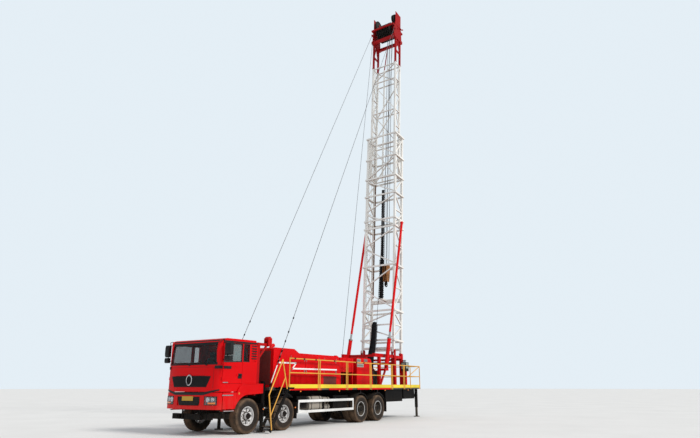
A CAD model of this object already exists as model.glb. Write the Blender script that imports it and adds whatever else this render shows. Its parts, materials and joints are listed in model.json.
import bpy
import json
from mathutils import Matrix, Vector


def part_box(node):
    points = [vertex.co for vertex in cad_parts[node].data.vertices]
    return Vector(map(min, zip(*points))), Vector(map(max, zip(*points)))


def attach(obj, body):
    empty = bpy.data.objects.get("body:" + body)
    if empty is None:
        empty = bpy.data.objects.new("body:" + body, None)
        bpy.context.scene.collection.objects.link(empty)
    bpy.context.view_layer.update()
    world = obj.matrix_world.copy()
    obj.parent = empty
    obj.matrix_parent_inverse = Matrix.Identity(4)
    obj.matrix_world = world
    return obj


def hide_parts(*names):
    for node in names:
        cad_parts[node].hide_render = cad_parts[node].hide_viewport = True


bl_info = {
    "name": "Workover rig looks",
    "version": (1, 0, 0),
    "blender": (4, 5, 0),
    "location": "View3D > Sidebar > Rig",
    "description": "Finishes and small pieces of a truck-mounted workover rig",
    "category": "Object",
}

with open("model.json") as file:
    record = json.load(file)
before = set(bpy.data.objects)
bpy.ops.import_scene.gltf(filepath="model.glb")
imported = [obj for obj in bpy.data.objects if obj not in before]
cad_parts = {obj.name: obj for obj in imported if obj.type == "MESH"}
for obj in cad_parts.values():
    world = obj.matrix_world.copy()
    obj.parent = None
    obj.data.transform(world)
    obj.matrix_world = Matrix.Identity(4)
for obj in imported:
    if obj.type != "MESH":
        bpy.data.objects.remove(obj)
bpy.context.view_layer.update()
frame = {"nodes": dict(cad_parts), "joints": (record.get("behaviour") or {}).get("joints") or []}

import json
import math

import bmesh
import bpy
import numpy as np
from bpy.props import FloatProperty, FloatVectorProperty, IntProperty, PointerProperty

JOINTS = {joint["name"]: joint for joint in frame["joints"]}
AXLE_X = [sum(corner[0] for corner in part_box(f"rim_left_{i}")) / 2 for i in (1, 2, 3, 4)]
HUB_Z = sum(corner[2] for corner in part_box("rim_left_1")) / 2
(CAB_BACK, _, _), (FRONT_X, _, CAB_TOP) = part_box("cab_shell")
CAB_HALF = 1.22
STATION_X = AXLE_X[0] + 0.11  # the carrier's zero station, from which behind() counts
DOOR_FRONT = AXLE_X[0] + 1.2
DOOR_BACK = AXLE_X[0] + 0.35
DECK_Z = 1.44
DECK_Y = 1.23
RAIL_Y = DECK_Y + 0.0213  # middle of the hand rails' tubes
LIP_Y = 1.245  # outer faces of the wheel arches and step boxes
CABINET_Y = 0.93  # outer faces of the control cabinet and the oil tank
DRUM_Z = 1.93
TREAD_HALF = 0.134  # half of the width of a tyre's tread
TYRE_WIDTH = 0.31
RIM_FACE = 1.211  # where the outer rims stand, across the carrier
SHARP = 0.6  # edges that bend by more than this angle stay sharp
HINGE = np.array(JOINTS["raise"]["pos_m"], float)
MAST_UP = np.array(JOINTS["scope"]["axis"], float)
MAST_FORE = np.array((MAST_UP[2], 0.0, -MAST_UP[0]))
SIDES = {"left": 1, "right": -1}
CORNERS = np.array([[i & 1, i >> 1 & 1, i >> 2 & 1] for i in range(8)])
BOX_FACES = np.array([[0, 2, 3, 1], [4, 5, 7, 6], [0, 1, 5, 4], [2, 6, 7, 3], [0, 4, 6, 2], [1, 3, 7, 5]])


def behind(distance):
    """X of a place a distance behind the carrier's zero station."""
    return STATION_X - distance


def on_mast(x, y, z):
    """A place in the mast's own frame: forward of the hinge, to the left, and up the mast."""
    return HINGE + x * MAST_FORE + np.array((0.0, y, 0.0)) + z * MAST_UP


def points_of(node):
    """The corners of a carried-over node's mesh, one row each."""
    mesh = frame["nodes"][node].data
    points = np.empty(len(mesh.vertices) * 3)
    mesh.vertices.foreach_get("co", points)
    return points.reshape(-1, 3)


def mast_span(node):
    """Lowest and highest place of a node in the mast's own frame."""
    away = points_of(node) - HINGE
    local = np.stack([away @ MAST_FORE, away[:, 1], away @ MAST_UP], 1)
    return local.min(0), local.max(0)


def cab_face(y, z):
    """X of the cab's front: a third-power oval in plan, cut by a windscreen that leans back.

    x = front - 0.3 + 0.3 (1 - |y / half|^3)^(1/3), or the windscreen's x where that is less.
    """
    y, z = np.broadcast_arrays(np.asarray(y, float), np.asarray(z, float))
    plan = FRONT_X - 0.3 + 0.3 * np.clip(1 - np.abs(y / CAB_HALF) ** 3, 0, 1) ** (1 / 3)
    side = FRONT_X - np.interp(z, [2.1, 2.85, 2.92, 2.96], [0.0, 0.15, 0.21, 0.36])
    return np.minimum(plan, side)


def face_patch(ys, zs, lift, thick):
    """Front and back grids of a panel on the cab's face, lifted off it; zs has one row per y."""
    ys = np.asarray(ys, float)[:, None] + np.zeros_like(zs)
    x = cab_face(ys, zs) + lift
    return np.stack([x, ys, zs], -1), np.stack([x - thick, ys, zs], -1)


def grid_faces(nu, nv, wrap_u=False, wrap_v=False):
    """Quads between the neighbours of a grid, joined to its start where it wraps."""
    a, b = np.mgrid[:nu - (not wrap_u), :nv - (not wrap_v)]
    c, d = (a + 1) % nu, (b + 1) % nv
    return np.stack([a * nv + b, c * nv + b, c * nv + d, a * nv + d], -1).reshape(-1, 4)


def circle(count):
    """Evenly spaced angles of a full turn."""
    return np.linspace(0, 2 * np.pi, count, endpoint=False)


def line_band(a, b, half):
    """Four corners of a band of a half width along a line between two places of x and z."""
    a, b = np.asarray(a, float), np.asarray(b, float)
    off = np.array((a[1] - b[1], b[0] - a[0])) * half / np.linalg.norm(b - a)
    return [a - off, b - off, b + off, a + off]


class Shape:
    """Surfaces gathered into one mesh, as arrays of points and rows of corner numbers."""

    def __init__(self):
        self.points = []
        self.faces = []
        self.size = 0

    def add(self, points, *rows):
        points = np.asarray(points, float).reshape(-1, 3)
        for row in rows:
            self.faces += (np.asarray(row) + self.size).tolist()
        self.points.append(points)
        self.size += len(points)
        return self

    def box(self, low, high):
        """Eight corners and six faces between two opposite corners."""
        low, high = np.minimum(low, high), np.maximum(low, high)
        return self.add(low + CORNERS * (high - low), BOX_FACES)

    def plates(self, y0, y1, *rows):
        """Boxes between two planes of y; each row is two stations and two heights."""
        for s0, s1, z0, z1 in rows:
            self.box((behind(s1), y0, z0), (behind(s0), y1, z1))
        return self

    def strip(self, span, low, high, lift, thick):
        """A band on the cab's face between two heights; the span is y's start, end and count."""
        ys = np.linspace(*span)
        zs = np.stack(np.broadcast_arrays(low, high, ys)[:2], 1)
        return self.slab(*face_patch(ys, zs, lift, thick))

    def tube(self, path, radius, sides=12):
        """A circle carried along a path: path + r (cos t side + sin t top), with flat ends."""
        path = np.asarray(path, float)
        radius = np.broadcast_to(np.asarray(radius, float), (len(path),))[:, None, None]
        along = np.gradient(path, axis=0)
        along /= np.linalg.norm(along, axis=1)[:, None]
        side = np.cross(along, np.eye(3)[np.abs(along).max(0).argmin()])
        side /= np.linalg.norm(side, axis=1)[:, None]
        top = np.cross(side, along)
        t = circle(sides)
        ring = np.cos(t)[:, None] * side[:, None] + np.sin(t)[:, None] * top[:, None]
        last = (len(path) - 1) * sides
        return self.add(path[:, None] + radius * ring, grid_faces(len(path), sides, wrap_v=True),
                        [np.arange(sides)[::-1]], [last + np.arange(sides)])

    def post(self, x, y, low, high, radius, sides=12):
        """An upright tube."""
        return self.tube([(x, y, low), (x, y, high)], radius, sides)

    def lathe(self, profile, centre, axis=(0.0, 1.0, 0.0), steps=48, ring=False):
        """Rows of (a, r) turned about an axis: centre + a axis + r (cos t u + sin t v)."""
        profile = np.asarray(profile, float)
        axis = np.asarray(axis, float) / np.linalg.norm(axis)
        u = np.cross(axis, (1.0, 0.0, 0.0) if abs(axis[0]) < 0.8 else (0.0, 0.0, 1.0))
        u /= np.linalg.norm(u)
        t = circle(steps)[:, None, None]
        radial = np.cos(t) * u + np.sin(t) * np.cross(axis, u)
        points = np.asarray(centre) + profile[None, :, :1] * axis + profile[None, :, 1:] * radial
        n = len(profile)
        caps = [] if ring else [[np.arange(steps) * n], [np.arange(steps)[::-1] * n + n - 1]]
        return self.add(points, grid_faces(steps, n, wrap_u=True, wrap_v=ring), *caps)

    def studs(self, profile, count, reach, centre, sign, steps=6, start=0.0):
        """Small turned parts that stand across the carrier, evenly on a circle round a centre."""
        for angle in start + np.arange(count) * 2 * np.pi / count:
            away = reach * np.array((math.cos(angle), 0.0, math.sin(angle)))
            self.lathe(profile, centre + away, (0, sign, 0), steps)
        return self

    def slab(self, front, back):
        """Two equal grids of points joined round their rims to a closed sheet."""
        nu, nv = front.shape[:2]
        index = np.arange(nu * nv).reshape(nu, nv)
        rim = np.concatenate([index[0], index[1:, -1], index[-1, -2::-1], index[-2:0:-1, 0]])
        turn = np.roll(rim, -1)
        faces = grid_faces(nu, nv)
        return self.add(np.concatenate([front.reshape(-1, 3), back.reshape(-1, 3)]), faces,
                        faces[:, ::-1] + nu * nv, np.stack([rim, rim + nu * nv, turn + nu * nv, turn], 1))

    def prism(self, outline, low, high):
        """A flat outline of x and z, pushed across the carrier from low to high."""
        ends = [np.insert(np.asarray(outline, float), 1, y, axis=1) for y in (low, high)]
        i = np.arange(len(outline))
        turn, n = np.roll(i, -1), len(outline)
        return self.add(np.concatenate(ends), [i[::-1]], [i + n], np.stack([i, turn, turn + n, i + n], 1))

    def moved(self, function):
        """The same shape with its points passed through a function."""
        self.points = [function(np.concatenate(self.points))]
        return self

    def mirrored(self):
        """The shape with its copy on the other side of the carrier."""
        points = np.concatenate(self.points)
        self.points = [points, points * (1, -1, 1)]
        self.faces += [[corner + self.size for corner in face[::-1]] for face in self.faces]
        self.size *= 2
        return self


# MATERIALS

DUST = (0.3, 0.23, 0.16)
RUST = (0.2, 0.075, 0.03)
MUD = (0.15, 0.095, 0.058)


def settle(made, **values):
    """Sets an object's named values."""
    for key, value in values.items():
        setattr(made, key, value)
    return made


def placed(name, data):
    """A new object of some data, linked to the scene."""
    made = bpy.data.objects.new(name, data)
    bpy.context.scene.collection.objects.link(made)
    return made


def feed(tree, made, values):
    """Links each named input of a node to a socket, or sets it to a value."""
    for key, value in values.items():
        if isinstance(value, bpy.types.NodeSocket):
            tree.links.new(value, made.inputs[key])
        else:
            made.inputs[key].default_value = value
    return made


def node(tree, kind, values=None, **settings):
    return feed(tree, settle(tree.nodes.new("ShaderNode" + kind), **settings), values or {})


def blend_colour(tree, amount, *colours):
    first, second = (value if isinstance(value, bpy.types.NodeSocket) else (*value, 1.0) for value in colours)
    return node(tree, "Mix", {0: amount, 6: first, 7: second}, data_type="RGBA").outputs[2]


def spread(tree, value, low, high, start=0.0, end=1.0):
    return node(tree, "MapRange", {0: value, 1: low, 2: high, 3: start, 4: end}, clamp=True).outputs[0]


def times(tree, first, second, kind="MULTIPLY"):
    return node(tree, "Math", {0: first, 1: second}, operation=kind, use_clamp=True).outputs[0]


def noise(tree, coords, scale, detail=4.0, stretch=None):
    if stretch:
        coords = node(tree, "Mapping", {"Vector": coords, "Scale": stretch}).outputs[0]
    return node(tree, "TexNoise", {"Vector": coords, "Scale": scale, "Detail": detail}).outputs[0]


def waves(tree, coords, scale, way, bent=0.0):
    wave = node(tree, "TexWave", {"Vector": coords, "Scale": scale, "Distortion": bent}, bands_direction=way)
    return wave.outputs["Fac"]


def relief(tree, height, strength, distance):
    return node(tree, "Bump", {"Height": height, "Strength": strength, "Distance": distance}).outputs[0]


def scaled(colour, share):
    return tuple(c * share for c in colour)


def new_material(name):
    made = bpy.data.materials.new(name)
    made.use_nodes = True
    tree = made.node_tree
    return made, tree, tree.nodes["Principled BSDF"], node(tree, "TexCoord").outputs["Object"]


def paint(name, colour, rough=0.4, coat=0.0, dust=0.35, low_dirt=0.5, rust=0.0, metal=0.0, fade=0.25,
          bump=0.15, shine=0.5, under=0.0):
    """Sprayed metal: faded in patches, dusty on top and near the ground, rusty in streaks and below."""
    made, tree, shader, coords = new_material(name)
    fine = noise(tree, coords, 17.0, 6.0)
    runs = noise(tree, coords, 5.0, 5.0, (3.0, 3.0, 0.35))
    broad = spread(tree, noise(tree, coords, 0.9, 3.0), 0.35, 0.65)
    base = blend_colour(tree, broad, colour, scaled(colour, 1 - fade))
    if rust:
        spots = times(tree, spread(tree, runs, 0.6, 0.72), spread(tree, fine, 0.35, 0.6))
        base = blend_colour(tree, times(tree, spots, rust), base, RUST)
    normal = node(tree, "SeparateXYZ", {0: node(tree, "NewGeometry").outputs["Normal"]}).outputs[2]
    height = node(tree, "SeparateXYZ", {0: coords}).outputs[2]
    settled = times(tree, spread(tree, normal, 0.4, 1.0, 0.0, dust), spread(tree, fine, 0.3, 0.6, 0.4, 1.0))
    splashed = times(tree, spread(tree, height, 1.3, 0.3, 0.0, low_dirt), spread(tree, runs, 0.35, 0.65))
    dirty = times(tree, settled, splashed, "ADD")
    if under:
        below = spread(tree, normal, -0.2, -0.8, 0.0, under)
        base = blend_colour(tree, times(tree, below, spread(tree, runs, 0.3, 0.6, 0.5, 1.0)), base, RUST)
    uneven = times(tree, dirty, times(tree, fine, 0.3), "ADD")
    feed(tree, shader, {
        "Base Color": blend_colour(tree, dirty, base, DUST),
        "Roughness": spread(tree, uneven, 0.0, 1.0, max(rough - 0.05, 0.05), min(rough + 0.4, 0.95)),
        "Metallic": metal, "Coat Weight": coat, "Coat Roughness": 0.08, "Specular IOR Level": shine,
        "Normal": relief(tree, fine, bump, 0.004)})
    return made


def tread_plate(name, colour):
    """Deck steel with small raised bars that cross, and trodden dust."""
    made = paint(name, colour, rough=0.6, dust=0.6, low_dirt=0.2, metal=0.3)
    tree = made.node_tree
    turned = node(tree, "Mapping", {"Vector": node(tree, "TexCoord").outputs["Object"],
                                    "Rotation": (0, 0, math.radians(45)), "Scale": (30, 30, 30)}).outputs[0]
    bars = node(tree, "TexVoronoi", {"Vector": turned, "Scale": 1.0, "Randomness": 0.0}).outputs["Distance"]
    raised = relief(tree, spread(tree, bars, 0.2, 0.45, 1.0, 0.0), 0.5, 0.004)
    feed(tree, tree.nodes["Principled BSDF"], {"Normal": raised})
    return made


def glass(name, colour, clear, rough=0.02):
    """Tinted pane: mostly clear, with a film that makes its gloss uneven."""
    made, tree, shader, coords = new_material(name)
    film = spread(tree, noise(tree, coords, 3.0, 4.0), 0.4, 0.8, rough, rough + 0.12)
    feed(tree, shader, {"Base Color": (*colour, 1), "Roughness": film, "Alpha": 1 - clear,
                        "Specular IOR Level": 0.8})
    return made


def rubber(name, colour, mud):
    """Tyre rubber, grey with dust, with dried mud where the piece's mud attribute says."""
    made, tree, shader, coords = new_material(name)
    fine = noise(tree, coords, 30.0, 6.0)
    lighter = tuple(c * 2.0 + 0.003 if mud else c * 1.6 for c in colour)
    worn = blend_colour(tree, spread(tree, fine, 0.35, 0.7), colour, lighter)
    if mud:
        share = node(tree, "Attribute", attribute_name="mud").outputs["Fac"]
        patches = spread(tree, noise(tree, coords, 4.0, 5.0), 0.32, 0.62, 0.25, 1.0)
        worn = blend_colour(tree, times(tree, share, patches), worn, MUD)
    feed(tree, shader, {"Base Color": worn, "Roughness": 0.82, "Specular IOR Level": 0.15,
                        "Normal": relief(tree, fine, 0.35, 0.004)})
    return made


def rope(name, colour):
    """Wire rope: strands wound round it, shown by a wave along its slant."""
    made, tree, shader, coords = new_material(name)
    wave = waves(tree, coords, 9.0, "DIAGONAL", 1.0)
    feed(tree, shader, {"Base Color": blend_colour(tree, wave, colour, scaled(colour, 0.4)), "Metallic": 0.5,
                        "Roughness": 0.5, "Normal": relief(tree, wave, 0.4, 0.003)})
    return made


def cloth(name, colour):
    """Woven seat cover: two crossing waves for the threads."""
    made, tree, shader, coords = new_material(name)
    weave = times(tree, *(waves(tree, coords, 120.0, way) for way in ("X", "Z")))
    patches = spread(tree, noise(tree, coords, 6.0, 4.0), 0.3, 0.7)
    feed(tree, shader, {"Base Color": blend_colour(tree, patches, colour, scaled(colour, 0.6)),
                        "Roughness": 0.9, "Sheen Weight": 0.3, "Normal": relief(tree, weave, 0.3, 0.001)})
    return made


def lens(name, colour, rough=0.08):
    """Ribbed lamp glass over a bright bowl, without light of its own."""
    made, tree, shader, coords = new_material(name)
    ribs = waves(tree, coords, 22.0, "Y")
    feed(tree, shader, {"Base Color": blend_colour(tree, ribs, colour, scaled(colour, 0.65)),
                        "Roughness": rough, "Coat Weight": 1.0, "Normal": relief(tree, ribs, 0.3, 0.002)})
    return made


# Every finish of the rig by the record's slot it belongs to: its name, maker, colour and the maker's
# values. A colour that is a word names one of RigColours.
LOOK_ROWS = {
    "red_paint": [
        ("cab red", paint, "red", dict(rough=0.32, coat=0.06, dust=0.04, low_dirt=0.22, fade=0.1, bump=0.03,
         shine=0.12)),
        ("housing red", paint, "red", dict(rough=0.42, dust=0.08, low_dirt=0.1, fade=0.12, shine=0.12)),
        ("louvre red", paint, (0.16, 0.02, 0.015), dict(rough=0.6, dust=0.2)),
        ("frame red", paint, (0.52, 0.002, 0.004), dict(rough=0.45, dust=0.12, rust=0.35, shine=0.15)),
        ("crown red", paint, (0.38, 0.004, 0.006), dict(rough=0.48, dust=0.1, rust=0.5, shine=0.15)),
    ],
    "white_paint": [
        ("mast white", paint, "mast", dict(rough=0.5, dust=0.15, low_dirt=0.0, rust=0.9, fade=0.12,
         under=0.75)),
        ("guard white", paint, (0.8, 0.8, 0.78), dict(rough=0.5, low_dirt=0.15, dust=0.15, rust=0.15)),
        ("stripe white", paint, (0.8, 0.8, 0.8), dict(rough=0.4, fade=0.05, dust=0.1)),
    ],
    "black_steel": [
        ("black steel", paint, (0.003, 0.003, 0.0035), dict(rough=0.6, dust=0.04, low_dirt=0.07, shine=0.1)),
        ("tread dark", paint, (0.03, 0.03, 0.03), dict(rough=0.7, dust=0.5)),
    ],
    "cast_steel": [
        ("cast steel", paint, (0.028, 0.026, 0.024), dict(rough=0.65, dust=0.2, low_dirt=0.35, rust=0.4,
         metal=0.2, shine=0.3)),
        ("brown pipe", paint, (0.16, 0.07, 0.03), dict(rough=0.7, dust=0.1, low_dirt=0.0, rust=0.8)),
    ],
    "deck_steel": [("deck plate", tread_plate, (0.1, 0.085, 0.07))],
    "yellow_paint": [
        ("rail yellow", paint, "rails", dict(rough=0.45, dust=0.3, low_dirt=0.3, rust=0.55)),
        ("toe yellow", paint, (0.8, 0.62, 0.02), dict(rough=0.4, dust=0.15, rust=0.15)),
        ("plate yellow", paint, (0.62, 0.36, 0.02), dict(rough=0.5, dust=0.1, low_dirt=0.2)),
    ],
    "bare_steel": [
        ("bright steel", paint, (0.55, 0.55, 0.56), dict(rough=0.25, metal=1.0, dust=0.2, fade=0.1)),
        ("dull steel", paint, (0.28, 0.27, 0.26), dict(rough=0.5, metal=0.7, dust=0.3, rust=0.4)),
        ("lamp bowl", paint, (0.8, 0.83, 0.86), dict(rough=0.15, dust=0.0, low_dirt=0.0, fade=0.3)),
    ],
    "tank_paint": [
        ("tank paint", paint, (0.3, 0.28, 0.24), dict(rough=0.5, low_dirt=0.6, dust=0.4, rust=0.3)),
        ("gauge panel", paint, (0.3, 0.36, 0.3), dict(rough=0.5, dust=0.1, low_dirt=0.0)),
    ],
    "rim_paint": [
        ("rim paint", paint, (0.66, 0.66, 0.66), dict(rough=0.45, low_dirt=0.3, dust=0.15, rust=0.3)),
        ("rim dark", paint, (0.06, 0.055, 0.05), dict(rough=0.6, low_dirt=0.35, dust=0.2, rust=0.4,
         shine=0.3)),
    ],
    "tyre_rubber": [("tyre", rubber, (0.011, 0.0095, 0.0085), dict(mud=True))],
    "hose_rubber": [("hose", rubber, (0.006, 0.0065, 0.008), dict(mud=False))],
    "wire_rope": [("wire rope", rope, (0.16, 0.16, 0.17))],
    "block_paint": [("block orange", paint, (0.33, 0.13, 0.03), dict(rough=0.55, rust=0.8))],
    "black_plastic": [
        ("grille black", paint, (0.006, 0.006, 0.007), dict(rough=0.6, dust=0.1, low_dirt=0.2, shine=0.3)),
        ("black plastic", paint, (0.008, 0.008, 0.009), dict(rough=0.45, dust=0.08, low_dirt=0.15,
         shine=0.35)),
        ("dash plastic", paint, (0.05, 0.05, 0.055), dict(rough=0.6, dust=0.1, low_dirt=0.0)),
    ],
    "seat_fabric": [("seat cover", cloth, (0.06, 0.06, 0.07))],
    "lamp_glass": [
        ("clear lens", lens, (0.75, 0.78, 0.8)),
        ("orange lens", lens, (0.85, 0.2, 0.01)),
        ("red lens", lens, (0.5, 0.01, 0.01)),
        ("lamp cover", glass, (0.6, 0.64, 0.66), dict(clear=0.9)),
    ],
    "glass": [
        ("cab glass", glass, (0.01, 0.024, 0.026), dict(clear=0.74)),
        ("door glass", glass, (0.24, 0.3, 0.3), dict(clear=0.55)),
    ],
}
LOOKS = {}
NODE_LOOKS = {
    "chassis": "black steel", "axles": "cast steel", "cab_shell": "cab red", "cab_glass": "cab glass",
    "cab_interior": "dash plastic", "cab_trim": "black plastic", "bumper": "cab red",
    "headlamps": "clear lens", "steps_and_fenders": "cab red", "mudguards": "black plastic",
    "deck": "deck plate", "power_housing": "housing red", "deck_cabinets": "housing red",
    "drawworks": "cast steel", "mast_supports": "frame red", "hand_rails": "rail yellow",
    "ladders": "black steel", "side_guards": "guard white", "tanks": "tank paint", "stays": "wire rope",
    "hose_bundle": "hose", "lower_mast": "mast white", "travelling_block": "block orange",
    "drill_lines": "wire rope", "cable_chain": "hose", "upper_mast": "mast white", "crown": "crown red",
    "sheaves": "cast steel",
}
GROUP_LOOKS = {
    "cylinder_base": "housing red", "cylinder_tube": "housing red", "jack": "cast steel",
    "door_glass": "door glass", "door": "cab red", "knuckle": "cast steel", "rim": "rim paint",
    "tyre": "hose",
}


def look_of(name):
    """The look of a carried-over node: its own, that of a rear rim, or its group's."""
    if name in NODE_LOOKS:
        return NODE_LOOKS[name]
    if name.startswith("rim") and name[-1] in "34":
        return "rim dark"
    return next(look for start, look in GROUP_LOOKS.items() if name.startswith(start))


def face_outwards(mesh, weld=False):
    """Turns all faces outwards, where asked after merging the points that meet."""
    work = bmesh.new()
    work.from_mesh(mesh)
    if weld:
        bmesh.ops.remove_doubles(work, verts=work.verts, dist=0.0005)
    bmesh.ops.recalc_face_normals(work, faces=work.faces)
    work.to_mesh(mesh)
    work.free()


def piece(name, shape, look, body="carrier", bevel=0.0, stands_for=()):
    """Makes an object of a shape, gives it its finish and lets it ride on a body."""
    slot, material = LOOKS[look]
    mesh = bpy.data.meshes.new(name)
    mesh.from_pydata(np.concatenate(shape.points), [], shape.faces)
    face_outwards(mesh)
    mesh.polygons.foreach_set("use_smooth", np.ones(len(mesh.polygons), bool))
    mesh.set_sharp_from_angle(angle=SHARP)
    mesh.materials.append(material)
    made = placed(name, mesh)
    if bevel:
        settle(made.modifiers.new("Rounding", "BEVEL"), width=bevel, segments=2, limit_method="ANGLE")
    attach(made, body)
    if stands_for:
        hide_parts(*stands_for)
    return made


# WHEELS

def each_wheel():
    """Side, its sign, number, x and body of the eight wheels."""
    for side, sign in SIDES.items():
        for i, x in enumerate(AXLE_X, 1):
            yield side, sign, i, x, f"wheel_{side}_{i}"


def tyre_section(tread):
    """Half widths and radii across a tyre, bead to bead; the tread's r = 0.55 - 0.009 |w / half|^3."""
    width = np.array([0.121, 0.134, 0.146, 0.152, 0.1545, 0.154, 0.151, 0.146, 0.14])
    radius = np.array([0.298, 0.315, 0.345, 0.385, 0.43, 0.468, 0.5, 0.525, 0.541])
    across = np.linspace(TREAD_HALF, -TREAD_HALF, tread)
    crown = 0.55 - 0.009 * np.abs(across / TREAD_HALF) ** 3
    return np.concatenate([width, across, -width[::-1]]), np.concatenate([radius, crown, radius[::-1]])


def make_tyres(sizes):
    """Tyres with ribs or lugs cut into the tread, single in front and twins behind."""
    w, r = tyre_section(29)
    t = circle(sizes.tyre_steps)[:, None]
    share_out = np.abs(w)[None] / TREAD_HALF
    ribs = np.abs(((share_out * 3.0 + 0.1 * np.sin(t * 60)) % 1.0) - 0.5) < 0.1
    lugs = (np.sin(t * 44 + 26 * share_out) > 0.35) & (np.abs(w) > 0.02)
    for side, sign, i, x, body in each_wheel():
        cut = (ribs | ((np.abs(w) > 0.095) & lugs)) if i < 3 else lugs
        rr = r - 0.013 * (cut & (r > 0.53))
        low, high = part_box(f"tyre_{side}_{i}")
        outer = max(abs(low[1]), abs(high[1])) - TYRE_WIDTH / 2
        shape = Shape()
        mud = []
        for y in [outer] if i < 3 else [outer, outer - TYRE_WIDTH - 0.04]:
            points = np.stack([x + rr * np.cos(t), sign * (y + w + 0 * t), HUB_Z + rr * np.sin(t)], -1)
            shape.add(points, grid_faces(len(t), len(w), wrap_u=True, wrap_v=True))
            mud.append((np.clip((rr - 0.42) / 0.1, 0.12, 1.0) * np.where(cut, 1.0, 0.85)).ravel())
        made = piece(f"tyre_surface_{side}_{i}", shape, "tyre", body, stands_for=[f"tyre_{side}_{i}"])
        share = made.data.attributes.new("mud", "FLOAT", "POINT")
        share.data.foreach_set("value", np.concatenate(mud).astype(np.float32))


def make_wheel_parts():
    """Nuts, hand holes, hub caps and rim rings of the eight wheels."""
    nut = [(0, 0.017), (0.03, 0.017), (0.036, 0.012), (0.046, 0.012)]
    front_cap = [(0, 0.1), (0.0042, 0.1), (0.007, 0.088), (0.0119, 0.084), (0.0147, 0.06), (0.0154, 0.001)]
    rear_cap = [(0, 0.112), (0.004, 0.112), (0.012, 0.1), (0.014, 0.001)]
    lip = [(-0.012, 0.276), (-0.012, 0.292), (0.006, 0.297), (0.012, 0.292), (0.01, 0.28), (0.0, 0.276)]
    for side, sign, i, x, body in each_wheel():
        face, start, profile = (1.152, 1.246, front_cap) if i < 3 else (0.923, 1.201, rear_cap)
        hub, away = (x, sign * face, HUB_Z), (0, sign, 0)
        nuts = Shape().studs(nut, 10, 0.167, hub, sign, start=np.pi / 10)
        piece(f"wheel_nuts_{side}_{i}", nuts, "dull steel", body)
        if i < 3:
            holes = Shape()
            holes.studs([(-0.002, 0.036), (0.004, 0.033), (0.005, 0.001)], 8, 0.218, hub, sign, 20)
            holes.lathe([(-0.002, 0.1), (-0.002, 0.142), (0.007, 0.138), (0.008, 0.1)], hub, away, ring=True)
            piece(f"rim_holes_{side}_{i}", holes, "grille black", body)
        cap = Shape().lathe(profile, (x, sign * start, HUB_Z), away, 40)
        cap.studs([(0.002, 0.01), (0.012, 0.01), (0.015, 0.006)], 8, 0.08, (x, sign * start, HUB_Z), sign)
        piece(f"hub_cap_{side}_{i}", cap, "black steel", body)
        edge = Shape().lathe(lip, (x, sign * RIM_FACE, HUB_Z), away, 72, ring=True)
        piece(f"rim_lip_{side}_{i}", edge, "rim paint", body)


# CAB

def window_frame(outline, grow, y0, y1):
    """A band round a side window: its outline and the same outline grown from its middle."""
    outline = np.asarray(outline, float)
    away = outline - outline.mean(0)
    wide = outline.mean(0) + away * (1 + grow / np.abs(away).max(0))
    inner, outer = ([np.insert(line, 1, y, axis=1) for y in (y0, y1)] for line in (outline, wide))
    ring = np.stack([inner[0], outer[0], outer[1], inner[1]], 1)
    return Shape().add(ring, grid_faces(len(outline), 4, wrap_u=True, wrap_v=True))


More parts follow.
